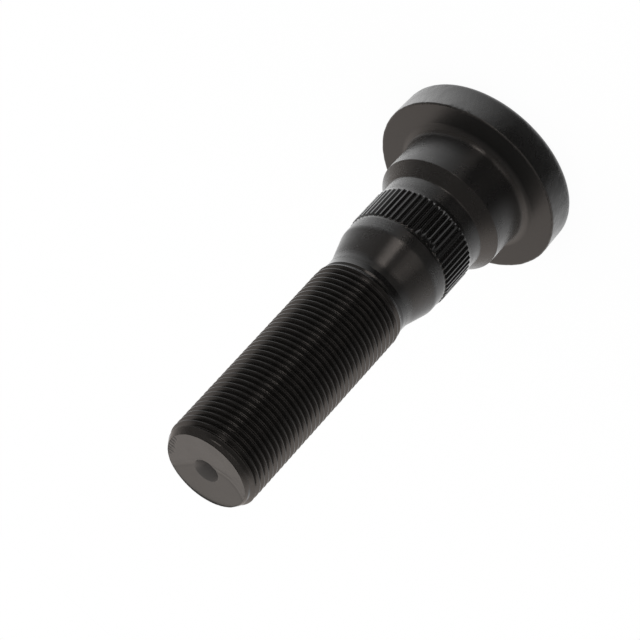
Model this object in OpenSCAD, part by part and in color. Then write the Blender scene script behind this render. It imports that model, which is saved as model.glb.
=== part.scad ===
// Wheel stud with an M22 x 1.5 thread, forged and turned in one piece.
// It stands on its head: the origin is the centre of the head's back face and +Z runs to the tip.
// Each section below is half of the turned outline, with X as the radius and Y as the height.

/* [Head] */
// Diameter of the head at the edge of its seat
head_d = 44.4; // [38:0.1:56]
// Thickness of the head
head_t = 7.6; // [5:0.1:12]
// Slope of the forged rim, which narrows towards the back face, in degrees
head_draft = 2; // [0:0.5:4]
// Radius of the edge round the back face
head_back_round = 0.8; // [0.2:0.1:2]
// Radius of the edge round the seat
head_seat_round = 0.4; // [0.1:0.1:1]

/* [Pilot boss] */
// Diameter of the boss that centres the drum
boss_d = 29.8; // [28:0.1:33]
// Length of the boss from the seat to its bevel
boss_l = 10.5; // [6:0.1:16]
// Radius of the fillet between the boss and the seat
boss_fillet = 2; // [0.5:0.1:2.5]
// Length of the bevel that leads from the neck to the boss
boss_bevel_l = 2.8; // [1:0.1:5]

/* [Serration] */
// Diameter of the plain shank on both sides of the teeth
body_d = 24.6; // [23.5:0.1:24.9]
// Length of the plain neck between the bevel and the teeth
neck_l = 4; // [2:0.1:8]
// Diameter over the teeth, pressed into the hub
serration_d = 25.2; // [25:0.1:26.5]
// Length of the toothed band
serration_l = 9.9; // [6:0.1:16]
// Number of teeth
tooth_count = 56; // [48:1:64]
// Width of the groove between two teeth, at the crests
groove_w = 1; // [0.6:0.05:1.1]
// Depth of the grooves below the plain shank
groove_sink = 0.2; // [0.1:0.05:0.5]
// Length over which the teeth rise and the grooves run out, at each end
tooth_lead_l = 0.8; // [0.3:0.1:2]
// Length of the plain band between the teeth and the shoulder
band_l = 3.4; // [1.5:0.1:8]

/* [Taper] */
// Slope of the taper against the axis, in degrees
taper_angle = 16.5; // [10:0.5:30]
// Radius that rounds the shoulder
shoulder_round = 4; // [1:0.5:8]
// Radius of the hollow at the small end of the taper
hollow_round = 6; // [1:0.5:8]
// Diameter of the plain waist between the taper and the thread
waist_d = 20.8; // [20:0.1:21]
// Length of the waist
waist_l = 3; // [2:0.1:8]

/* [Thread] */
// Outer diameter of the thread
thread_d = 22; // [21.5:0.1:23]
// Rise of the thread in one turn
thread_pitch = 1.5; // [1:0.25:2]
// Length of thread at its full diameter
thread_l = 50.5; // [30:0.5:80]
// Turns over which the thread runs out towards the waist
run_out_turns = 2; // [1:0.5:3]
// Length of the chamfer at the tip
tip_chamfer_l = 2.3; // [1:0.1:4]
// Slope of the chamfer at the tip against the axis, in degrees
tip_chamfer_angle = 30; // [20:1:40]

/* [Centre hole] */
// Diameter of the countersink in the tip face
centre_mouth_d = 5.9; // [4:0.1:8]
// Angle across the countersink, in degrees
centre_angle = 60; // [60:15:90]
// Diameter of the pilot hole below the countersink
centre_pilot_d = 2.5; // [1.6:0.1:3.2]
// Length of the pilot hole
centre_pilot_l = 2.6; // [1:0.1:6]

/* [Hidden] */
$fn = 128;

boss_z = head_t;
bevel_z = boss_z + boss_l;
neck_z = bevel_z + boss_bevel_l;
serration_z = neck_z + neck_l;
band_z = serration_z + serration_l;
shoulder_z = band_z + band_l;
taper_l = (body_d - waist_d) / 2 / tan(taper_angle);
waist_z = shoulder_z + taper_l;
run_out_z = waist_z + waist_l;
thread_z = run_out_z + run_out_turns * thread_pitch;
tip_chamfer_z = thread_z + thread_l;
tip_z = tip_chamfer_z + tip_chamfer_l;

head_back_r = head_d / 2 - head_t * tan(head_draft);
root_r = body_d / 2 - groove_sink;
crest_w = thread_pitch / 8;
flank_angle = 60;
thread_root_r = thread_d / 2 - 0.6134 * thread_pitch;
tip_face_r = thread_d / 2 - tip_chamfer_l * tan(tip_chamfer_angle);
centre_sink_l = (centre_mouth_d - centre_pilot_d) / 2 / tan(centre_angle / 2);
drill_point_angle = 118;
centre_point_l = centre_pilot_d / 2 / tan(drill_point_angle / 2);
cut_clear = 1;

forged = "#3a3836";
turned = "#2c2b2a";
rolled = "#242322";

// Space between the circle that touches both sides of a corner and the corner itself.
// The sides leave the corner at the angles side_1 and side_2, counted anticlockwise.
module corner_space(round_r, side_1, side_2) {
    half = (side_2 - side_1) / 2;
    middle = side_1 + half;
    reach = round_r / tan(half);
    centre = round_r / sin(half) * [cos(middle), sin(middle)];
    difference() {
        polygon([[0, 0], reach * [cos(side_1), sin(side_1)], centre, reach * [cos(side_2), sin(side_2)]]);
        translate(centre) circle(round_r);
    }
}

// Forged head with a drafted rim and rounded edges
module head() {
    color(forged) rotate_extrude() difference() {
        polygon([[0, 0], [head_back_r, 0], [head_d / 2, head_t], [0, head_t]]);
        translate([head_back_r, 0]) corner_space(head_back_round, 90 - head_draft, 180);
        translate([head_d / 2, head_t]) corner_space(head_seat_round, 180, 270 - head_draft);
    }
}

// Pilot boss with the fillet at its foot and the bevel at its top
module boss() {
    color(turned) rotate_extrude() union() {
        polygon([[0, boss_z], [boss_d / 2, boss_z], [boss_d / 2, bevel_z], [body_d / 2, neck_z], [0, neck_z]]);
        translate([boss_d / 2, boss_z]) corner_space(boss_fillet, 0, 90);
    }
}

// Plain cylinder of the shank between two heights
module plain(from_z, to_z) {
    color(turned) translate([0, 0, from_z]) cylinder(h = to_z - from_z, d = body_d);
}

// Outline across the teeth: a disc with V grooves
module toothed_disc() {
    half_w = groove_w / 2;
    crest_r = serration_d / 2;
    mouth_r = sqrt(pow(crest_r, 2) - pow(half_w, 2));
    slope = half_w / (mouth_r - root_r);
    outside = crest_r + cut_clear;
    outside_w = slope * (outside - root_r);
    difference() {
        circle(crest_r);
        for (i = [0 : tooth_count - 1])
            rotate(i * 360 / tooth_count) polygon([[root_r, 0], [outside, -outside_w], [outside, outside_w]]);
    }
}

// Cone that fills the ends of the grooves: it slopes down past their bottoms into the solid core
module groove_end() {
    cylinder(h = 2 * tooth_lead_l, r1 = body_d / 2, r2 = body_d / 2 - 2 * groove_sink);
}

// Toothed band, with teeth that rise from the plain shank and grooves that run out at both ends
module serration() {
    color(rolled) union() {
        intersection() {
            translate([0, 0, serration_z]) linear_extrude(serration_l) toothed_disc();
            rotate_extrude() polygon([
                [0, serration_z], [body_d / 2, serration_z],
                [serration_d / 2, serration_z + tooth_lead_l], [serration_d / 2, band_z - tooth_lead_l],
                [body_d / 2, band_z], [0, band_z]]);
        }
        translate([0, 0, serration_z]) groove_end();
        translate([0, 0, band_z]) mirror([0, 0, 1]) groove_end();
    }
}

// Taper from the rounded shoulder to the waist, with a hollow at its small end
module taper() {
    color(turned) rotate_extrude() union() {
        difference() {
            polygon([
                [0, band_z], [body_d / 2, band_z], [body_d / 2, shoulder_z],
                [waist_d / 2, waist_z], [waist_d / 2, run_out_z], [0, run_out_z]]);
            translate([body_d / 2, shoulder_z]) corner_space(shoulder_round, 90 + taper_angle, 270);
        }
        translate([waist_d / 2, waist_z]) corner_space(hollow_round, taper_angle - 90, 90);
    }
}

// Half the width of a thread groove at a radius
function groove_half_w(r) = (thread_pitch - crest_w) / 2 - (thread_d / 2 - r) * tan(flank_angle / 2);

// Bottom of the groove at a height: from the waist it sinks to its full depth over the run-out
function groove_floor_r(z) =
    thread_root_r + (waist_d / 2 - thread_root_r) * max(0, (thread_z - z) / (thread_z - run_out_z));

// Half section of the groove round one height
module thread_groove(z) {
    floor_r = groove_floor_r(z);
    outside_r = thread_d / 2 + cut_clear;
    polygon([
        [floor_r, z - groove_half_w(floor_r)], [outside_r, z - groove_half_w(outside_r)],
        [outside_r, z + groove_half_w(outside_r)], [floor_r, z + groove_half_w(floor_r)]]);
}

// Thread in the section and pitch of the real one, as closed grooves that stand for its helix
module threaded_shank() {
    first_z = tip_chamfer_z - (crest_w + thread_pitch) / 2;
    below = floor((first_z - run_out_z) / thread_pitch);
    above = ceil(tip_chamfer_l / thread_pitch);
    color(rolled) rotate_extrude() difference() {
        polygon([
            [0, run_out_z], [waist_d / 2, run_out_z], [thread_d / 2, thread_z],
            [thread_d / 2, tip_chamfer_z], [tip_face_r, tip_z], [0, tip_z]]);
        for (turn = [-below : above]) thread_groove(first_z + turn * thread_pitch);
    }
}

// Centre hole in the tip face: a countersink and a pilot hole with a drilled point
module centre_hole() {
    mouth_r = centre_mouth_d / 2;
    pilot_r = centre_pilot_d / 2;
    pilot_z = tip_z - centre_sink_l;
    floor_z = pilot_z - centre_pilot_l;
    rotate_extrude() polygon([
        [0, floor_z - centre_point_l], [pilot_r, floor_z], [pilot_r, pilot_z],
        [mouth_r, tip_z], [mouth_r, tip_z + cut_clear], [0, tip_z + cut_clear]]);
}

module wheel_stud() {
    difference() {
        union() {
            head();
            boss();
            plain(neck_z, serration_z);
            serration();
            taper();
            threaded_shank();
        }
        centre_hole();
    }
}

wheel_stud();
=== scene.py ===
"""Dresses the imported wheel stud: one closed mesh with six finishes, the studio and the camera."""
import math

import bpy
from mathutils import Matrix, Vector, noise


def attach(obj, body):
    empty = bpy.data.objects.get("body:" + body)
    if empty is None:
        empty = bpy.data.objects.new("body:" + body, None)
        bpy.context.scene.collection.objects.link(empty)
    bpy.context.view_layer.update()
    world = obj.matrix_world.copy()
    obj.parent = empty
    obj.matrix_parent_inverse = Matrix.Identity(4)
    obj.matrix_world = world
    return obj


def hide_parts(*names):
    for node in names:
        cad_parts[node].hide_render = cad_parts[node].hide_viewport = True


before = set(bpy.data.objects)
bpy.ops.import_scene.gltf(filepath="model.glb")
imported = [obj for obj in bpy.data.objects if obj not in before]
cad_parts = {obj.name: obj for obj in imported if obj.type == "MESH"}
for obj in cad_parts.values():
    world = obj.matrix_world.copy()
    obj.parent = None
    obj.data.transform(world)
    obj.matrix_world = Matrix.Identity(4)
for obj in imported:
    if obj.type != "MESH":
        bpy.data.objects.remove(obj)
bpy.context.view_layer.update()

MM = 0.001
TURN = 2 * math.pi

# Turned outline, in mm
HEAD_BACK_R, HEAD_R, HEAD_T = 21.93, 22.18, 7.6
BOSS_R, BOSS_END_Z = 14.9, 18.1
NECK_R, NECK_Z = 12.3, 20.9
SHOULDER_Z = 38.2
WAIST_R, WAIST_Z = 10.4, 44.61
TIP_Z = 103.41
# Rounds of its corners
BACK_ROUND, SEAT_ROUND, FILLET, BEVEL_ROUND, NECK_ROUND = 0.8, 0.4, 2.0, 0.18, 0.6
SHOULDER_ROUND, HOLLOW_ROUND = 4.0, 6.0
# Outermost ring of the seat, and the last station that is faced, halfway up the fillet
SEAT_RING_R = HEAD_R - 0.8
FACED_STATIONS = 5

# Points in a ring: of the back face, of the rim and the tip face, of turned surfaces and of the thread
BACK_COLUMNS, FINE_COLUMNS, TURNED_COLUMNS, THREAD_COLUMNS = 100, 400, 256, 192
# Innermost ring of the back face, and the numbers of rings up the rim and across the tip face
BACK_RING_R = 8.0
RIM_STEPS, TIP_STEPS = 17, 27

# Forged rim: depth of its lumps and of the seat's ragged edge, and the nicks of that edge
LUMP_DEPTH, RAGGED_DEPTH = 0.09, 0.05
SEAT_NICKS = (142, 145.5, 149, 153, 186)
SEAT_NICK_DEPTH, SEAT_NICK_DEGREES = 0.16, 0.8

# Serration: width of a crest, and lengths over which crests and grooves run out
TOOTH_COUNT = 56
TOOTH_R, GROOVE_R = 12.6, 12.1
CREST_W = 0.3
TEETH_Z, TEETH_END_Z = 24.9, 34.8
CREST_LEAD_L, GROOVE_LEAD_L = 0.35, 0.6
# How ragged its ends are, and how deep crests and grooves are dented
LOW_END_RAG, HIGH_END_RAG = 0.16, 0.18
CREST_UNEVEN, GROOVE_UNEVEN = 0.03, 0.012
# Part of it that was rubbed when it was handled: bearings in degrees, height and share rubbed off
WORN_FROM, WORN_TO, WORN_FADE = 170, 203, 6
WORN_Z, WORN_SHARE = 33.0, 0.7

# Thread M22 x 1.5, drawn with the mean crest and root of its tolerance
PITCH = 1.5
THREAD_R, CREST_R, ROOT_R = 11.0, 10.93, 10.03
# Eased edges of its crests and hollow roots: how wide and how deep they are
CREST_HALF_W, CREST_FLAT_HALF_W, CREST_DROP = 0.115, 0.07, 0.05
ROOT_HALF_W, ROOT_LIFT = 0.15, 0.07
# Where it leaves the waist, and between which heights it deepens
THREAD_LOW_Z, RUN_OUT_Z, FULL_DEPTH_Z = 46.6, 47.3, 50.6
# Rows that come this near to the first and the last ring of the thread are welded to it
LOW_WELD, HIGH_WELD = 0.05, 0.06
CHAMFER_Z, CHAMFER_SLOPE = 101.1, math.tan(math.radians(30))
TIP_R = THREAD_R - (TIP_Z - CHAMFER_Z) * CHAMFER_SLOPE
# Its crests are rubbed in wide and in narrow patches, given by depth and length, and have one dent
RUB_DEPTH, RUB_L = 0.025, 2.2
FINE_RUB_DEPTH, FINE_RUB_L = 0.015, 0.8
DENT_BEARING, DENT_Z = 175.5, 98.5
DENT_DEGREES, DENT_L, DENT_DEPTH = 2.5, 0.4, 0.16

# Tip face: its level and the most that it rises above it
FACE_Z = TIP_Z - 0.05
LIFT_CAP = 0.048
# Its two folds stand proud, with a hollow past each of them and a slow fall further on
FOLD_LIFT, FOLD_W = 0.06, 0.3
HOLLOW_DEPTH, HOLLOW_W, HOLLOW_FROM_FOLD = 0.04, 0.35, 0.75
FALL_SLOPE = math.tan(math.radians(1))
# The left fold is straight: a point on it and its slope
LEFT_FOLD_X, LEFT_FOLD_Y, LEFT_FOLD_SLOPE = 2.93, -0.48, 2.35
# The right fold is a parabola, whose lowest point is given, and goes on straight past a bend
RIGHT_FOLD_X, RIGHT_FOLD_Y, RIGHT_FOLD_CURVE, RIGHT_FOLD_BEND_X = -4.6, -4.28, 0.1, -2.5
# Its distance from a place is about this share of the difference in Y, because it runs a little aslant
RIGHT_FOLD_LEAN = 0.95
# Nicks that run in from the edge of the face: bearings and lengths
NICKS = ((62, 1.4), (68, 1.9), (73, 1.5), (79, 2.0), (86, 1.6), (92, 1.5), (99, 1.3))
NICK_W, NICK_DEPTH = 0.34, 0.12
# Scratches beside the right fold: how far from it they lie, and between which X
SCRATCHES = (-0.5, -0.9, -1.3)
SCRATCH_FROM_X, SCRATCH_TO_X = -8.8, -4.8
SCRATCH_LIFT, SCRATCH_W = 0.03, 0.14

# Centre hole
MOUTH_R, PILOT_R, PILOT_L = 2.95, 1.25, 2.6
SINK_L = (MOUTH_R - PILOT_R) / math.tan(math.radians(30))
POINT_L = PILOT_R / math.tan(math.radians(59))

FINISHES = ["turned", "faced", "rolled", "forged", "sheared", "torn"]


def smooth(low, high, value):
    """0 below low, 1 above high and an even change between them."""
    t = min(max((value - low) / (high - low), 0.0), 1.0)
    return t * t * (3 - 2 * t)


def hump(middle, width, value):
    """1 at the middle, falling to nearly nothing at twice the width."""
    return math.exp(-((value - middle) / width) ** 2)


def azimuth(angle):
    """Compass bearing in degrees, clockwise from +Y, of an angle that is counted anticlockwise from +X."""
    return (90 - math.degrees(angle)) % 360


def waver(radius, angle, height, length, seed=0.0):
    """Even random wave between -1 and 1 over the surface, whose bumps are about a given length apart."""
    spot = Vector((radius * math.cos(angle), radius * math.sin(angle), height + seed))
    return noise.noise(spot / length)


class Skin:
    """The mesh in the making. A ring is a list of point numbers, counted anticlockwise from above."""

    def __init__(self):
        self.points, self.runs, self.faces, self.finishes = [], [], [], []

    def point(self, radius, angle, height, run):
        """Adds a point, which keeps how far along the outline it lies, and returns its number."""
        self.points.append((radius * math.cos(angle) * MM, radius * math.sin(angle) * MM, height * MM))
        self.runs.append(run)
        return len(self.points) - 1

    def ring(self, count, radius, height, run, shape=None):
        """Adds a circle of points, each of which a shape function may move, and returns their numbers."""
        ring = []
        for i in range(count):
            angle = TURN * i / count
            r, z = shape(radius, height, angle) if shape else (radius, height)
            ring.append(self.point(r, angle, z, run))
        return ring

    def face(self, corners, finish):
        """Adds a face without its doubled corners, unless that leaves fewer than three."""
        kept = [c for i, c in enumerate(corners) if c != corners[i - 1]]
        if len(set(kept)) >= 3:
            self.faces.append(kept)
            self.finishes.append(FINISHES.index(finish))

    def knit(self, lower, upper, finish):
        """Faces between two rings, in quads where they have as many points, and otherwise in triangles."""
        m, n = len(lower), len(upper)
        if m == n:
            for i in range(m):
                j = (i + 1) % m
                self.face([lower[i], lower[j], upper[j], upper[i]], finish)
            return
        i = j = 0
        while i < m or j < n:
            if j == n or (i < m and (i + 1) * n <= (j + 1) * m):
                self.face([lower[i], lower[(i + 1) % m], upper[j % n]], finish)
                i += 1
            else:
                self.face([lower[i % m], upper[(j + 1) % n], upper[j]], finish)
                j += 1

    def cap(self, ring, centre, finish, upward):
        """Closes a ring with triangles round its centre, which face up or down."""
        for i in range(len(ring)):
            j = (i + 1) % len(ring)
            self.face([centre, ring[i], ring[j]] if upward else [centre, ring[j], ring[i]], finish)

    def normals(self):
        """Normal of each point, led by its largest faces, so that a flat side looks flat to its edge."""
        normals = [Vector() for point in self.points]
        for face in self.faces:
            corners = [Vector(self.points[k]) / MM for k in face]
            area = (corners[2] - corners[0]).cross(corners[-1] - corners[1])
            if len(face) == 3:
                area = (corners[1] - corners[0]).cross(corners[2] - corners[0])
            for k in face:
                normals[k] += area * area.length
        return [n.normalized() for n in normals]


def rounded(corners):
    """Stations (radius, height) along an outline, whose corners give their round's radius and steps."""
    stations = []
    for k, (r, z, radius, steps) in enumerate(corners):
        here = Vector((r, z))
        if radius == 0:
            stations.append((r, z))
            continue
        before = (Vector(corners[k - 1][:2]) - here).normalized()
        after = (Vector(corners[k + 1][:2]) - here).normalized()
        half = before.angle(after) / 2
        middle = (before + after).normalized()
        centre = here + middle * (radius / math.sin(half))
        start = here + before * (radius / math.tan(half)) - centre
        end = here + after * (radius / math.tan(half)) - centre
        sweep = start.angle_signed(end)
        for i in range(steps + 1):
            turned = -sweep * i / steps
            c, s = math.cos(turned), math.sin(turned)
            stations.append((centre.x + start.x * c - start.y * s, centre.y + start.x * s + start.y * c))
    return stations


def spaced(start, end, count):
    """Stations strictly between two points of the outline."""
    return [tuple(a + (b - a) * i / (count + 1) for a, b in zip(start, end)) for i in range(1, count + 1)]


def forged(radius, height, angle):
    """Lumps of the forged skin and the ragged edge of the seat, all of them cut into the head."""
    # Lumps 2.6 mm wide and twice as high, with smaller ones of 0.9 mm on them, which fade at the back edge
    lumps = 0.5 + 0.5 * waver(radius, angle, height * 0.5, 2.6) + 0.25 * waver(radius, angle, height, 0.9)
    inward = LUMP_DEPTH * smooth(0.2, 1.1, lumps) * smooth(0.0, 1.2, height)
    edge = smooth(HEAD_T - 0.9, HEAD_T - 0.3, height)
    ragged = 0.5 + 0.5 * waver(radius, angle, 0, 1.3, 40.0)
    inward += edge * RAGGED_DEPTH * smooth(0.4, 0.9, ragged)
    for nick in SEAT_NICKS:
        inward += edge * SEAT_NICK_DEPTH * hump(nick, SEAT_NICK_DEGREES, azimuth(angle))
    return radius - inward, height


def build_head(skin):
    """Back face, forged rim and turned seat up to the neck. Returns the last ring and the run so far."""
    back_edge = rounded([
        (BACK_RING_R, 0.0, 0, 0), (HEAD_BACK_R, 0.0, BACK_ROUND, 5), (HEAD_R, HEAD_T, 0, 0)])
    seat_edge = rounded([
        (HEAD_BACK_R, 0.0, 0, 0), (HEAD_R, HEAD_T, SEAT_ROUND, 4), (BOSS_R, HEAD_T, 0, 0)])
    rim = back_edge[:-1] + spaced(back_edge[-2], seat_edge[1], RIM_STEPS) + seat_edge[1:-1]
    turned = rounded([
        (SEAT_RING_R, HEAD_T, 0, 0), (BOSS_R, HEAD_T, FILLET, 8), (BOSS_R, BOSS_END_Z, BEVEL_ROUND, 3),
        (NECK_R, NECK_Z, NECK_ROUND, 4), (NECK_R, TEETH_Z - 0.5, 0, 0)])
    centre = skin.point(0, 0, 0, 0)
    run, last = BACK_RING_R, rim[0]
    ring = skin.ring(BACK_COLUMNS, *rim[0], run)
    skin.cap(ring, centre, "forged", False)
    for station in rim[1:]:
        run += math.dist(last, station)
        new = skin.ring(FINE_COLUMNS, *station, run, forged)
        skin.knit(ring, new, "forged")
        ring, last = new, station
    for k, station in enumerate(turned):
        run += math.dist(last, station)
        new = skin.ring(TURNED_COLUMNS, *station, run)
        skin.knit(ring, new, "faced" if k <= FACED_STATIONS else "turned")
        ring, last = new, station
    return ring, run


def tooth_section():
    """Half a groove, a crest and half a groove: distances round the shank and radii."""
    width = TURN * TOOTH_R / TOOTH_COUNT
    edge = (width - CREST_W) / 2
    half = [(0.0, GROOVE_R), (0.07, GROOVE_R + 0.02), (edge - 0.03, TOOTH_R - 0.04), (edge, TOOTH_R)]
    return half + [(width / 2, TOOTH_R)] + [(width - u, r) for u, r in reversed(half[1:])]


def raggedness(tooth, across, step, seed):
    """Random number between 0 and 2 for the end of a tooth, which changes little across the tooth."""
    return 1 + noise.noise(Vector((tooth * step, across * 0.9, seed)))


def tooth_spot(tooth, across, section_r, z):
    """Radius and angle of a place across a tooth at a height, with the ragged and rubbed ends."""
    angle = TURN * tooth / TOOTH_COUNT + across / TOOTH_R
    bearing = azimuth(angle)
    low_end = TEETH_Z + LOW_END_RAG * raggedness(tooth, across, 0.73, 3.5)
    high_end = TEETH_END_Z - HIGH_END_RAG * raggedness(tooth, across, 0.67, 8.5)
    worn = smooth(WORN_FROM, WORN_FROM + WORN_FADE, bearing)
    worn *= 1 - smooth(WORN_TO - WORN_FADE, WORN_TO, bearing)
    worn *= smooth(WORN_Z - 0.5, WORN_Z + 1.0, z + 0.5 * waver(TOOTH_R, angle, z, 0.8))
    inside = min(z - low_end, high_end - z)
    is_crest = section_r > NECK_R
    rise = smooth(0, CREST_LEAD_L if is_crest else GROOVE_LEAD_L, inside)
    r = NECK_R + (section_r - NECK_R) * rise * (1 - WORN_SHARE * worn)
    uneven = CREST_UNEVEN if is_crest else GROOVE_UNEVEN
    return r + uneven * rise * min(waver(TOOTH_R, angle, z, 1.1), 0.0), angle


def build_teeth(skin, ring, run):
    """Rolled serration: pointed grooves between narrow crests, run out at both ends."""
    section = tooth_section()
    # Heights above the lower end, in the middle and below the upper end, closer where the crests rise
    low = [0.0, 0.12, 0.24, 0.36, 0.5, 0.65, 0.85]
    middle = [2.6, 5.2]
    high = [2.3, 1.9, 1.6, 1.35, 1.1, 0.9, 0.72, 0.56, 0.42, 0.3, 0.18, 0.06, 0.0]
    heights = [TEETH_Z + d for d in low + middle] + [TEETH_END_Z - d for d in high]
    for z in [TEETH_Z - 0.3] + heights + [TEETH_END_Z + 0.3]:
        new = []
        for tooth in range(TOOTH_COUNT):
            for across, section_r in section:
                r, angle = tooth_spot(tooth, across, section_r, z)
                new.append(skin.point(r, angle, z, run + z - TEETH_Z + 0.5))
        skin.knit(ring, new, "rolled")
        ring = new
    return ring, run + TEETH_END_Z - TEETH_Z + 0.8


def build_taper(skin, ring, run):
    """Plain band, rounded shoulder, taper and hollow, down to the waist."""
    outline = rounded([
        (NECK_R, TEETH_END_Z + 0.6, 0, 0), (NECK_R, SHOULDER_Z, SHOULDER_ROUND, 8),
        (WAIST_R, WAIST_Z, HOLLOW_ROUND, 7), (WAIST_R, THREAD_LOW_Z, 0, 0)])
    last = (NECK_R, TEETH_END_Z + 0.3)
    for k, station in enumerate(outline):
        run += math.dist(last, station)
        new = skin.ring(TURNED_COLUMNS if k < len(outline) - 1 else THREAD_COLUMNS, *station, run)
        skin.knit(ring, new, "turned")
        ring, last = new, station
    return ring, run


def thread_radius(section_r, angle, z):
    """Radius of the thread, which rises out of the waist, has rubbed crests and is cut by the chamfer."""
    r = WAIST_R + smooth(RUN_OUT_Z, FULL_DEPTH_Z, z) * (section_r - WAIST_R)
    is_crest = section_r > (CREST_R + ROOT_R) / 2
    if is_crest:
        wide = smooth(-0.3, 0.7, waver(r, angle, z, RUB_L))
        fine = smooth(0, 0.7, waver(r, angle, z, FINE_RUB_L))
        dent = hump(DENT_BEARING, DENT_DEGREES, azimuth(angle)) * hump(DENT_Z, DENT_L, z)
        r -= RUB_DEPTH * wide + FINE_RUB_DEPTH * fine + DENT_DEPTH * dent
    return min(r, THREAD_R - (z - CHAMFER_Z) * CHAMFER_SLOPE)


def chamfer_edge(radius, height, angle):
    """Ragged edge between the chamfer and the tip face."""
    ragged = 0.05 * (1 + waver(radius, angle, height, 0.9)) + 0.04 * waver(radius, angle, height, 3.0)
    return radius - ragged, height


def build_thread(skin, low_ring, run):
    """Right-hand rolled thread, whose rows climb along the helix from the waist to the tip face."""
    rows = [
        (-CREST_HALF_W, CREST_R - CREST_DROP), (-CREST_FLAT_HALF_W, CREST_R),
        (CREST_FLAT_HALF_W, CREST_R), (CREST_HALF_W, CREST_R - CREST_DROP),
        (PITCH / 2 - ROOT_HALF_W, ROOT_R + ROOT_LIFT), (PITCH / 2, ROOT_R),
        (PITCH / 2 + ROOT_HALF_W, ROOT_R + ROOT_LIFT)]
    tip_ring = skin.ring(THREAD_COLUMNS, TIP_R, TIP_Z, run + TIP_Z - THREAD_LOW_Z, chamfer_edge)
    made = {}

    def spot(i, j):
        """Number of the point of row i, counted up from the waist, in column j."""
        if j == THREAD_COLUMNS:
            i, j = i + len(rows), 0
        turn, part = divmod(i, len(rows))
        offset, section_r = rows[part]
        angle = TURN * j / THREAD_COLUMNS
        z = THREAD_LOW_Z + PITCH * (turn + angle / TURN) + offset
        if z < THREAD_LOW_Z + LOW_WELD:
            return low_ring[j]
        if z > TIP_Z - HIGH_WELD:
            return tip_ring[j]
        if (i, j) not in made:
            made[i, j] = skin.point(thread_radius(section_r, angle, z), angle, z, run + z - THREAD_LOW_Z)
        return made[i, j]

    turns = math.ceil((TIP_Z - THREAD_LOW_Z) / PITCH) + 1
    for i in range(-2 * len(rows), turns * len(rows)):
        for j in range(THREAD_COLUMNS):
            skin.face([spot(i, j), spot(i, j + 1), spot(i + 1, j + 1), spot(i + 1, j)], "rolled")
    return tip_ring, run + TIP_Z - THREAD_LOW_Z


def folds(x, y):
    """How far a place on the tip face lies past the left and the right fold, which meet at the hole."""
    left = (y - LEFT_FOLD_Y - LEFT_FOLD_SLOPE * (x - LEFT_FOLD_X)) / math.hypot(1, LEFT_FOLD_SLOPE)
    curved = min(x, RIGHT_FOLD_BEND_X) - RIGHT_FOLD_X
    straight = max(x - RIGHT_FOLD_BEND_X, 0)
    slope = 2 * RIGHT_FOLD_CURVE * (RIGHT_FOLD_BEND_X - RIGHT_FOLD_X)
    right = y - RIGHT_FOLD_Y - RIGHT_FOLD_CURVE * curved ** 2 - slope * straight
    return left, right * RIGHT_FOLD_LEAN


def tip_face(radius, height, angle):
    """Sheared face: it falls away past the two folds, and its edge is nicked."""
    x, y = radius * math.cos(angle), radius * math.sin(angle)
    left_fold, right_fold = folds(x, y)
    past = min(left_fold, right_fold)
    lift = FOLD_LIFT * hump(0, FOLD_W, past) - HOLLOW_DEPTH * hump(HOLLOW_FROM_FOLD, HOLLOW_W, past)
    lift -= max(past, 0) * FALL_SLOPE
    if SCRATCH_FROM_X < x < SCRATCH_TO_X:
        for scratch in SCRATCHES:
            lift += SCRATCH_LIFT * hump(scratch, SCRATCH_W, right_fold)
    for bearing, length in NICKS:
        aside = math.radians(azimuth(angle) - bearing) * radius
        if abs(aside) < NICK_W:
            start = TIP_R - length
            lift -= NICK_DEPTH * hump(0, NICK_W / 2, aside) * smooth(start, start + 0.6, radius)
    lift += 0.006 * waver(radius, angle, 0, 1.6) + 0.003 * waver(radius, angle, 0, 0.6)
    near_edge = smooth(TIP_R - 0.5, TIP_R - 0.05, radius)
    ragged = 0.08 * near_edge * (1 + waver(radius, angle, 0, 0.8))
    return radius - ragged, height + min(lift, LIFT_CAP)


def build_tip(skin, ring, run):
    """Sheared tip face, torn past its folds, with the centre hole."""
    start_r, end_r = TIP_R - 0.1, MOUTH_R + 0.08
    first = len(skin.faces)
    for k in range(TIP_STEPS + 1):
        r = start_r + (end_r - start_r) * k / TIP_STEPS
        new = skin.ring(FINE_COLUMNS, r, FACE_Z, run + TIP_R - r, tip_face)
        skin.knit(ring, new, "sheared")
        ring = new
    for k in range(first, len(skin.faces)):
        x, y, z = skin.points[skin.faces[k][0]]
        if min(folds(x / MM, y / MM)) > 0:
            skin.finishes[k] = FINISHES.index("torn")
    sink_z = TIP_Z - SINK_L
    floor_z = sink_z - PILOT_L
    # Radius, height and number of points of each ring of the hole
    hole = (
        (MOUTH_R - 0.02, TIP_Z - 0.14, 144), (2.4, TIP_Z - 0.95, 96), (PILOT_R + 0.05, sink_z + 0.1, 64),
        (PILOT_R, sink_z - 0.1, 48), (PILOT_R, floor_z, 48))
    for r, z, count in hole:
        new = skin.ring(count, r, z, run + TIP_R - r + TIP_Z - z)
        skin.knit(ring, new, "sheared")
        ring = new
    skin.cap(ring, skin.point(0, 0, floor_z - POINT_L, run + 20), "sheared", True)


def build_skin():
    """The whole closed skin, from the head's back face to the centre hole."""
    skin = Skin()
    ring, run = build_head(skin)
    ring, run = build_teeth(skin, ring, run)
    ring, run = build_taper(skin, ring, run)
    ring, run = build_thread(skin, ring, run)
    build_tip(skin, ring, run)
    return skin


def linear(colour):
    """Linear RGBA of an sRGB hex colour."""
    parts = [int(colour[i:i + 2], 16) / 255 for i in (1, 3, 5)]
    return [p / 12.92 if p <= 0.04045 else ((p + 0.055) / 1.055) ** 2.4 for p in parts] + [1.0]


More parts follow.
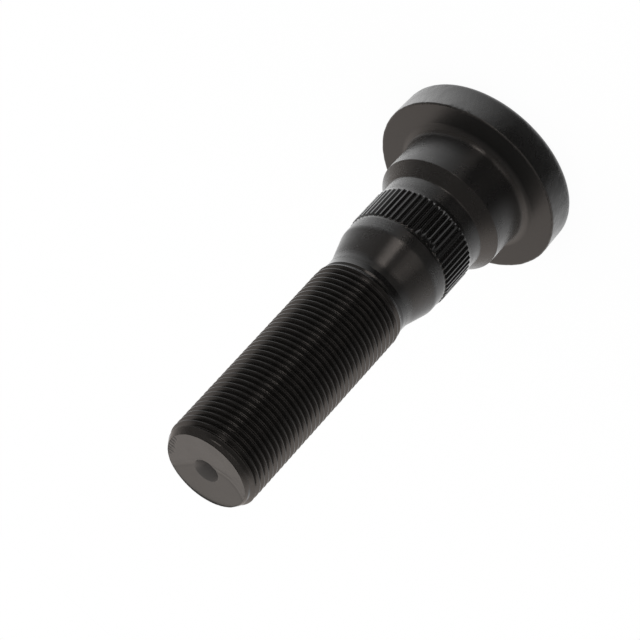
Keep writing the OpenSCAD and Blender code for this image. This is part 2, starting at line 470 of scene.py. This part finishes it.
def add(tree, kind, settings=None, links=None):
    """Adds a node with its settings and with links from other nodes' outputs to its inputs."""
    node = tree.nodes.new(kind)
    for key, value in (settings or {}).items():
        if isinstance(key, int) or key in node.inputs:
            node.inputs[key].default_value = value
        else:
            setattr(node, key, value)
    for key, output in (links or {}).items():
        tree.links.new(output, node.inputs[key])
    return node


def blank(name, is_world=False):
    """A new material or world with an empty node tree."""
    owner = (bpy.data.worlds if is_world else bpy.data.materials).new(name)
    owner.use_nodes = True
    owner.node_tree.nodes.clear()
    return owner, owner.node_tree


def per_metre(size):
    """How many bumps of a size in mm a metre holds, which is the scale of a pattern of that size."""
    return 1 / (size * MM)


def close(tree, shader, height, relief):
    """Ends a material: a height, whose full range is a relief in mm, roughens its shader's surface."""
    bump = add(tree, "ShaderNodeBump", {"Distance": relief * MM}, {"Height": height})
    tree.links.new(bump.outputs["Normal"], shader.inputs["Normal"])
    add(tree, "ShaderNodeOutputMaterial", {}, {"Surface": shader.outputs[0]})


# The steel itself is nowhere bare. What the eye sees is its black phosphate coat, a few thousandths of a
# millimetre of dark crystals soaked with oil. It isn't a metal: it is almost black, mirrors a tenth of
# what stands straight before it and much more at a glance, as a film with an index of about 2 does.
COAT, SCALE_COAT = "#0a0908", "#11100f"
COAT_INDEX = 2.0
# Marks of the lathe on every turned surface, in mm: their width, and how far round each stays even.
# They are drawn coarser than those of a usual feed of 0.2 mm, which would be too fine to show.
MARK, MARK_EVEN_L = 0.345, 4.0


def turned_steel():
    """Turned on a lathe before it was coated: fine rings spread each reflection along the axis."""
    material, tree = blank("Phosphated turned steel")
    spot = add(tree, "ShaderNodeTexCoord").outputs["Object"]
    run = add(tree, "ShaderNodeAttribute", {"attribute_name": "run"}).outputs["Fac"]
    # Z of a place is the run along the outline in mm, and its X and Y make each mark uneven round the shank
    round_scale = MARK * per_metre(MARK_EVEN_L)
    around = add(tree, "ShaderNodeVectorMath", {
        "operation": "MULTIPLY", 1: (round_scale, round_scale, 0.0)}, {0: spot})
    along = add(tree, "ShaderNodeCombineXYZ", {}, {"Z": run})
    place = add(tree, "ShaderNodeVectorMath", {"operation": "ADD"}, {
        0: around.outputs[0], 1: along.outputs[0]})
    waves = add(tree, "ShaderNodeTexNoise", {"Scale": 1 / MARK, "Detail": 1.0}, {
        "Vector": place.outputs[0]})
    # The tool leaves each mark with a long side that leans towards the tip and a short one back.
    # A wave texture of scale 1 repeats 20 times over a length of TURN.
    feed = 0.349
    teeth = add(tree, "ShaderNodeTexWave", {
        "bands_direction": "Z", "wave_profile": "SAW", "Scale": TURN / (20 * feed), "Distortion": 1.2,
        "Detail": 1.0, "Detail Scale": 1.0}, {"Vector": place.outputs[0]})
    marks = add(tree, "ShaderNodeMath", {"operation": "MULTIPLY_ADD", 1: -1.0}, {
        0: teeth.outputs["Fac"], 2: waves.outputs["Fac"]})
    oil_patch = 6.25
    oil = add(tree, "ShaderNodeTexNoise", {"Scale": per_metre(oil_patch), "Detail": 3.0}, {"Vector": spot})
    gloss = add(tree, "ShaderNodeMapRange", {"To Min": 0.24, "To Max": 0.31}, {
        "Value": oil.outputs["Fac"]})
    tangent = add(tree, "ShaderNodeTangent", {"direction_type": "RADIAL", "axis": "Z"})
    shader = add(tree, "ShaderNodeBsdfPrincipled", {
        "Base Color": linear(COAT), "IOR": COAT_INDEX, "Anisotropic": 0.85, "Anisotropic Rotation": 0.25},
        {"Roughness": gloss.outputs[0], "Tangent": tangent.outputs[0]})
    close(tree, shader, marks.outputs[0], 0.022)
    return material


def faced_steel():
    """Faced from the side on the same lathe: a duller surface than the shank, with the same fine rings."""
    material, tree = blank("Phosphated faced steel")
    spot = add(tree, "ShaderNodeTexCoord").outputs["Object"]
    flat = add(tree, "ShaderNodeVectorMath", {"operation": "MULTIPLY", 1: (1.0, 1.0, 0.0)}, {0: spot})
    radius = add(tree, "ShaderNodeVectorMath", {"operation": "LENGTH"}, {0: flat.outputs[0]})
    round_scale = per_metre(MARK_EVEN_L)
    around = add(tree, "ShaderNodeVectorMath", {
        "operation": "MULTIPLY", 1: (round_scale, round_scale, 0.0)}, {0: spot})
    along = add(tree, "ShaderNodeMath", {"operation": "MULTIPLY", 1: per_metre(MARK)}, {
        0: radius.outputs["Value"]})
    rise = add(tree, "ShaderNodeCombineXYZ", {}, {"Z": along.outputs[0]})
    place = add(tree, "ShaderNodeVectorMath", {"operation": "ADD"}, {
        0: around.outputs[0], 1: rise.outputs[0]})
    # The place is already counted in marks, so the scale is 1
    rings = add(tree, "ShaderNodeTexNoise", {"Scale": 1.0, "Detail": 2.0}, {"Vector": place.outputs[0]})
    shader = add(tree, "ShaderNodeBsdfPrincipled", {
        "Base Color": linear(COAT), "IOR": COAT_INDEX, "Roughness": 0.33})
    close(tree, shader, rings.outputs["Fac"], 0.012)
    return material


def rolled_steel():
    """Pressed between dies, so smoother than a turned surface, with a faint grain in the coat."""
    material, tree = blank("Phosphated rolled steel")
    spot = add(tree, "ShaderNodeTexCoord").outputs["Object"]
    # Coarser than the coat's own crystals, which are too fine to show
    crystal = 0.25
    grain = add(tree, "ShaderNodeTexNoise", {
        "Scale": per_metre(crystal), "Detail": 3.0, "Roughness": 0.6}, {"Vector": spot})
    shader = add(tree, "ShaderNodeBsdfPrincipled", {
        "Base Color": linear(COAT), "IOR": COAT_INDEX, "Roughness": 0.18})
    close(tree, shader, grain.outputs["Fac"], 0.003)
    return material


def forged_steel():
    """Upset in a die and left as it came: a dull skin with streaks of scale that climb the rim aslant."""
    material, tree = blank("Phosphated forged steel")
    streak_w, streak_l, slant, patch = 1.11, 1.85, math.radians(28), 4.35
    spot = add(tree, "ShaderNodeTexCoord").outputs["Object"]
    height = add(tree, "ShaderNodeSeparateXYZ", {}, {0: spot}).outputs["Z"]
    twist = math.tan(slant) / (HEAD_R * MM)
    lean = add(tree, "ShaderNodeMath", {"operation": "MULTIPLY", 1: twist}, {0: height})
    leaned = add(tree, "ShaderNodeVectorRotate", {"rotation_type": "Z_AXIS"}, {
        "Vector": spot, "Angle": lean.outputs[0]})
    squeezed = add(tree, "ShaderNodeVectorMath", {
        "operation": "MULTIPLY", 1: (1.0, 1.0, streak_w / streak_l)}, {0: leaned.outputs[0]})
    streaks = add(tree, "ShaderNodeTexNoise", {
        "Scale": per_metre(streak_w), "Detail": 6.0, "Roughness": 0.62}, {"Vector": squeezed.outputs[0]})
    patches = add(tree, "ShaderNodeTexNoise", {"Scale": per_metre(patch), "Detail": 3.0}, {"Vector": spot})
    gloss = add(tree, "ShaderNodeMapRange", {"To Min": 0.2, "To Max": 0.36}, {
        "Value": patches.outputs["Fac"]})
    shader = add(tree, "ShaderNodeBsdfPrincipled", {
        "Base Color": linear(SCALE_COAT), "IOR": COAT_INDEX}, {"Roughness": gloss.outputs[0]})
    close(tree, shader, streaks.outputs["Fac"], 0.1)
    return material


def cropped_steel(name, low, high):
    """Cropped from the bar: greyer and more matt than the rest, because the coat lies unevenly there."""
    material, tree = blank(name)
    grit, patch = 0.667, 3.85
    spot = add(tree, "ShaderNodeTexCoord").outputs["Object"]
    grain = add(tree, "ShaderNodeTexNoise", {
        "Scale": per_metre(grit), "Detail": 5.0, "Roughness": 0.6}, {"Vector": spot})
    patches = add(tree, "ShaderNodeTexNoise", {"Scale": per_metre(patch), "Detail": 2.0}, {"Vector": spot})
    colour = add(tree, "ShaderNodeMixRGB", {"Color1": linear(low), "Color2": linear(high)}, {
        "Fac": patches.outputs["Fac"]})
    shader = add(tree, "ShaderNodeBsdfPrincipled", {"IOR": COAT_INDEX, "Roughness": 0.42}, {
        "Base Color": colour.outputs[0]})
    close(tree, shader, grain.outputs["Fac"], 0.02)
    return material


def dress(skin):
    """Turns the skin into an object with its finishes, in the order of their list."""
    mesh = bpy.data.meshes.new("dressed_stud")
    mesh.from_pydata(skin.points, [], skin.faces)
    mesh.polygons.foreach_set("material_index", skin.finishes)
    mesh.polygons.foreach_set("use_smooth", [True] * len(mesh.polygons))
    mesh.attributes.new("run", "FLOAT", "POINT").data.foreach_set("value", skin.runs)
    dressed = bpy.data.objects.new("dressed_stud", mesh)
    bpy.context.scene.collection.objects.link(dressed)
    sheared = cropped_steel("Phosphated sheared steel", "#44413f", "#514e4b")
    torn = cropped_steel("Phosphated torn steel", "#343230", "#3e3c39")
    for material in (turned_steel(), faced_steel(), rolled_steel(), forged_steel(), sheared, torn):
        mesh.materials.append(material)
    mesh.normals_split_custom_set_from_vertices(skin.normals())
    return dressed


stud = dress(build_skin())
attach(stud, "root")
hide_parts("wheel_stud")


def heading(bearing, elevation):
    """Unit vector towards a compass bearing, clockwise from +Y seen from above, and a height, in degrees."""
    a, e = math.radians(bearing), math.radians(elevation)
    return Vector((math.sin(a) * math.cos(e), math.cos(a) * math.cos(e), math.sin(e)))


# Studio: the black coat mirrors a room that is bright behind the stud and dark overhead, and a floor that
# glows though it is no lamp. In the gloss that glow is painted reflection: painted shade in front of the
# stud, bright behind it. Lengths are in metres from here on.
ROOM_TINT, WHITE, PAPER = "#fff3ea", "#ffffff", "#fdfdfd"
ROOM_DARK, ROOM_BRIGHT = 0.08, 0.6
ROOM_BRIGHT_TOWARDS = heading(-20, 0)
# Cosines between which the room turns bright towards that side, and dark again towards the zenith
ROOM_SIDE_COSINES, ROOM_TOP_COSINES = (-0.26, 0.87), (0.59, 0.78)
# Least level, which is added in every direction and is all that is left overhead
ROOM_LEAST = 0.075

FLOOR_HALF = 0.3
# A hair below the head's back face, so that the two never show through each other
FLOOR_Z = -2e-5
# Share of plain paper in what the camera sees, which carries the shadow by the head
SHADED_SHARE = 0.05
# Levels of the floor's glow in the gloss, all painted reflection: a white ring at the rim, which paints a
# glint along the head's edge, then a dark side of painted shade and a bright side, from the rim outwards
PAINTED_RIM_GLINT = 1.0
PAINTED_FLOOR_SHADE_BY_RIM, PAINTED_FLOOR_SHADE = 0.07, 0.02
PAINTED_FLOOR_REFLECTION_BY_RIM, PAINTED_FLOOR_REFLECTION_NEAR, PAINTED_FLOOR_REFLECTION_FAR = 1.15, 1.85, 1.4
# Distances from the stud's axis over which one level gives way to the next
PAINTED_RIM_GLINT_END, RIM_TO_NEAR, NEAR_TO_FAR = (0.0224, 0.0232), (0.0235, 0.029), (0.04, 0.085)
# The painted shade lies towards one direction near the stud and swings to another one over these distances
PAINTED_SHADE_TOWARDS_NEAR, PAINTED_SHADE_TOWARDS_FAR = heading(196, 0), heading(177, 0)
PAINTED_SHADE_SWING = (0.07, 0.15)
# Pace at which the painted reflection turns bright beside the head and far away,
# and where these paces end and set in
SOONER, SOONER_ENDS = 1.85, (0.023, 0.042)
LATER, LATER_STARTS = 0.7, (0.06, 0.19)
# Cosine above which the painted shade is evenly dark
EVENLY_PAINTED_SHADE = 0.85

LAMP_DISTANCE, LAMP_HEIGHT, LAMP_Z = 0.5, 0.16, 0.041

# Camera: it looks down from 32 degrees above the floor, and is rolled so that the stud lies aslant
CAMERA_PLACE = Vector((0.0, -0.569721, 0.420052))
CAMERA_RIGHT = Vector((-0.73911, -0.35755, -0.57085))
CAMERA_UP = Vector((0.67356, -0.39915, -0.62209))
LENS, SENSOR_W = 181.844, 36


def shown_share(tree):
    """1 for rays that show the background: from the camera, in gloss and through glass."""
    path = add(tree, "ShaderNodeLightPath")
    seen = add(tree, "ShaderNodeMath", {"operation": "MAXIMUM"},
               {0: path.outputs["Is Camera Ray"], 1: path.outputs["Is Glossy Ray"]})
    return add(tree, "ShaderNodeMath", {"operation": "MAXIMUM"},
               {0: seen.outputs[0], 1: path.outputs["Is Transmission Ray"]}).outputs[0]


def white_to_camera(tree, level):
    """The camera itself sees white, whatever the gloss shows."""
    path = add(tree, "ShaderNodeLightPath")
    seen = path.outputs["Is Camera Ray"]
    hidden = add(tree, "ShaderNodeMath", {"operation": "SUBTRACT", 0: 1.0}, {1: seen})
    gloss = add(tree, "ShaderNodeMath", {"operation": "MULTIPLY"}, {0: level, 1: hidden.outputs[0]})
    return add(tree, "ShaderNodeMath", {"operation": "ADD"}, {0: gloss.outputs[0], 1: seen}).outputs[0]


def fade(tree, vector, towards, ends, low, high):
    """Smooth change of level as the cosine between a vector and a direction goes from end to end."""
    unit = add(tree, "ShaderNodeVectorMath", {"operation": "NORMALIZE"}, {0: vector})
    cosine = add(tree, "ShaderNodeVectorMath", {"operation": "DOT_PRODUCT", 1: towards}, {
        0: unit.outputs[0]})
    return add(tree, "ShaderNodeMapRange", {
        "interpolation_type": "SMOOTHSTEP", "From Min": ends[0], "From Max": ends[1],
        "To Min": low, "To Max": high}, {"Value": cosine.outputs["Value"]}).outputs[0]


def studio_room():
    """World whose gloss shows the room, while the camera and diffuse surfaces get plain white light."""
    world, tree = blank("Studio room", True)
    direction = add(tree, "ShaderNodeTexCoord").outputs["Generated"]
    flat = add(tree, "ShaderNodeVectorMath", {"operation": "MULTIPLY", 1: (1, 1, 0)}, {0: direction})
    sides = fade(tree, flat.outputs[0], ROOM_BRIGHT_TOWARDS, ROOM_SIDE_COSINES, ROOM_DARK, ROOM_BRIGHT)
    height = fade(tree, direction, heading(0, 90), ROOM_TOP_COSINES, 1.0, 0.0)
    room = add(tree, "ShaderNodeMath", {"operation": "MULTIPLY_ADD", 2: ROOM_LEAST}, {0: sides, 1: height})
    light = add(tree, "ShaderNodeBackground", {"Color": linear(WHITE), "Strength": 1.0})
    path = add(tree, "ShaderNodeLightPath")
    tint = add(tree, "ShaderNodeMixRGB", {"Color1": linear(ROOM_TINT), "Color2": linear(WHITE)}, {
        "Fac": path.outputs["Is Camera Ray"]})
    shown = add(tree, "ShaderNodeBackground", {}, {
        "Color": tint.outputs[0], "Strength": white_to_camera(tree, room.outputs[0])})
    mix = add(tree, "ShaderNodeMixShader", {}, {
        0: shown_share(tree), 1: light.outputs[0], 2: shown.outputs[0]})
    add(tree, "ShaderNodeOutputWorld", {}, {"Surface": mix.outputs[0]})
    return world


def painted_shade_side(tree, place, distance):
    """1 where the floor's glow is painted shade and -1 where it is bright painted reflection, which starts
    sooner beside the head.
    """
    swing = add(tree, "ShaderNodeMapRange", {"From Min": PAINTED_SHADE_SWING[0], "From Max": PAINTED_SHADE_SWING[1]}, {
        "Value": distance})
    towards = add(tree, "ShaderNodeVectorMath", {
        "operation": "MULTIPLY_ADD", 1: PAINTED_SHADE_TOWARDS_FAR - PAINTED_SHADE_TOWARDS_NEAR, 2: PAINTED_SHADE_TOWARDS_NEAR}, {
        0: swing.outputs[0]})
    unit = add(tree, "ShaderNodeVectorMath", {"operation": "NORMALIZE"}, {0: place})
    cosine = add(tree, "ShaderNodeVectorMath", {"operation": "DOT_PRODUCT"}, {
        0: unit.outputs[0], 1: towards.outputs[0]})
    turned = add(tree, "ShaderNodeMath", {"operation": "ARCCOSINE"}, {0: cosine.outputs["Value"]})
    sooner = add(tree, "ShaderNodeMapRange", {
        "From Min": SOONER_ENDS[0], "From Max": SOONER_ENDS[1], "To Min": SOONER, "To Max": 1.0}, {
        "Value": distance})
    later = add(tree, "ShaderNodeMapRange", {
        "From Min": LATER_STARTS[0], "From Max": LATER_STARTS[1], "To Min": 1.0, "To Max": LATER}, {
        "Value": distance})
    pace = add(tree, "ShaderNodeMath", {"operation": "MULTIPLY"}, {
        0: sooner.outputs[0], 1: later.outputs[0]})
    angle = add(tree, "ShaderNodeMath", {"operation": "MULTIPLY"}, {
        0: turned.outputs[0], 1: pace.outputs[0]})
    capped = add(tree, "ShaderNodeMath", {"operation": "MINIMUM", 1: math.pi}, {0: angle.outputs[0]})
    return add(tree, "ShaderNodeMath", {"operation": "COSINE"}, {0: capped.outputs[0]}).outputs[0]


def painted_floor_reflection(tree, place):
    """Painted reflection that the gloss sees of the floor: a white ring at the rim, which paints a glint
    along the head's edge, with a side of painted shade and a bright side round it.
    """
    distance = add(tree, "ShaderNodeVectorMath", {"operation": "LENGTH"}, {0: place}).outputs["Value"]
    turn = painted_shade_side(tree, place, distance)
    near = add(tree, "ShaderNodeMapRange", {
        "From Min": RIM_TO_NEAR[0], "From Max": RIM_TO_NEAR[1],
        "To Min": PAINTED_FLOOR_REFLECTION_BY_RIM, "To Max": PAINTED_FLOOR_REFLECTION_NEAR}, {"Value": distance})
    # Painted reflection: the floor's glow on its bright side
    bright = add(tree, "ShaderNodeMapRange", {
        "From Min": NEAR_TO_FAR[0], "From Max": NEAR_TO_FAR[1], "To Max": PAINTED_FLOOR_REFLECTION_FAR}, {
        "Value": distance, "To Min": near.outputs[0]})
    # Painted shade: the floor's glow on its dark side
    dark = add(tree, "ShaderNodeMapRange", {
        "From Min": RIM_TO_NEAR[0], "From Max": RIM_TO_NEAR[1],
        "To Min": PAINTED_FLOOR_SHADE_BY_RIM, "To Max": PAINTED_FLOOR_SHADE}, {"Value": distance})
    side = add(tree, "ShaderNodeMapRange", {"From Min": EVENLY_PAINTED_SHADE, "From Max": -1.0}, {
        "Value": turn, "To Min": dark.outputs[0], "To Max": bright.outputs[0]})
    # Painted glint: the floor glows white right by the rim, which paints a thin bright line along the head's
    # edge
    ring = add(tree, "ShaderNodeMapRange", {
        "interpolation_type": "SMOOTHSTEP", "From Min": PAINTED_RIM_GLINT_END[0], "From Max": PAINTED_RIM_GLINT_END[1],
        "To Min": PAINTED_RIM_GLINT, "To Max": 0.0}, {"Value": distance})
    return add(tree, "ShaderNodeMath", {"operation": "MAXIMUM"}, {
        0: side.outputs[0], 1: ring.outputs[0]}).outputs[0]


def glowing_paper():
    """Matt white paper that also glows though it is no lamp: evenly white to the camera, but in the gloss
    its glow is painted reflection, with a side of painted shade and a bright side.
    """
    paper, tree = blank("White paper glowing with painted reflections")
    place = add(tree, "ShaderNodeTexCoord").outputs["Object"]
    level = white_to_camera(tree, painted_floor_reflection(tree, place))
    matt = add(tree, "ShaderNodeBsdfDiffuse", {"Color": linear(PAPER)})
    # The glow carries the painted reflection: painted shade on one side, bright on the other, and a painted
    # glint ring at the rim
    glow = add(tree, "ShaderNodeEmission", {"Color": linear(WHITE)}, {"Strength": level})
    path = add(tree, "ShaderNodeLightPath")
    shaded = add(tree, "ShaderNodeMath", {"operation": "MULTIPLY", 1: SHADED_SHARE}, {
        0: path.outputs["Is Camera Ray"]})
    share = add(tree, "ShaderNodeMath", {"operation": "SUBTRACT"}, {
        0: shown_share(tree), 1: shaded.outputs[0]})
    mix = add(tree, "ShaderNodeMixShader", {}, {
        0: share.outputs[0], 1: matt.outputs[0], 2: glow.outputs[0]})
    add(tree, "ShaderNodeOutputMaterial", {}, {"Surface": mix.outputs[0]})
    return paper


def lay_floor():
    """Square sheet of paper under the head."""
    corners = [(x * FLOOR_HALF, y * FLOOR_HALF, FLOOR_Z) for x, y in ((-1, -1), (1, -1), (1, 1), (-1, 1))]
    mesh = bpy.data.meshes.new("floor")
    mesh.from_pydata(corners, [], [(0, 1, 2, 3)])
    mesh.materials.append(glowing_paper())
    sheet = bpy.data.objects.new("floor", mesh)
    bpy.context.scene.collection.objects.link(sheet)
    return sheet


bpy.context.scene.world = studio_room()
floor = lay_floor()


def lamp(name, bearing, left, right, spread, radiance):
    """Flat lamp that faces the stud from a bearing. It reaches between two bearings and fades outwards."""
    low, high = [LAMP_DISTANCE * math.tan(math.radians(end - bearing)) for end in (left, right)]
    half = math.radians(spread)
    data = bpy.data.lights.new(name, "AREA")
    data.shape = "RECTANGLE"
    data.size, data.size_y = high - low, LAMP_HEIGHT
    data.spread = 2 * half
    data.color = linear(ROOM_TINT)[:3]
    data.energy = radiance * math.pi * data.size * LAMP_HEIGHT * (1 - half / math.tan(half))
    piece = bpy.data.objects.new(name, data)
    bpy.context.scene.collection.objects.link(piece)
    direction, sideways = heading(bearing, 0), heading(bearing + 90, 0)
    piece.location = direction * LAMP_DISTANCE + sideways * (low + high) / 2 + Vector((0, 0, LAMP_Z))
    piece.rotation_euler = direction.to_track_quat("Z", "Y").to_euler()
    piece.visible_camera = False


lamp("key lamp", bearing=160, left=140, right=168, spread=20, radiance=2.5)
lamp("side lamp", bearing=200, left=184, right=221, spread=28, radiance=0.52)


def place_camera():
    """Long-lens camera at the photograph's viewing angle."""
    data = bpy.data.cameras.new("camera")
    data.lens = LENS
    data.sensor_width = SENSOR_W
    camera = bpy.data.objects.new("camera", data)
    bpy.context.scene.collection.objects.link(camera)
    axes = Matrix((CAMERA_RIGHT, CAMERA_UP, CAMERA_RIGHT.cross(CAMERA_UP))).transposed()
    camera.matrix_world = Matrix.LocRotScale(CAMERA_PLACE, axes.to_quaternion(), None)
    return camera


bpy.context.scene.camera = place_camera()

bpy.context.scene.view_settings.view_transform = "Standard"
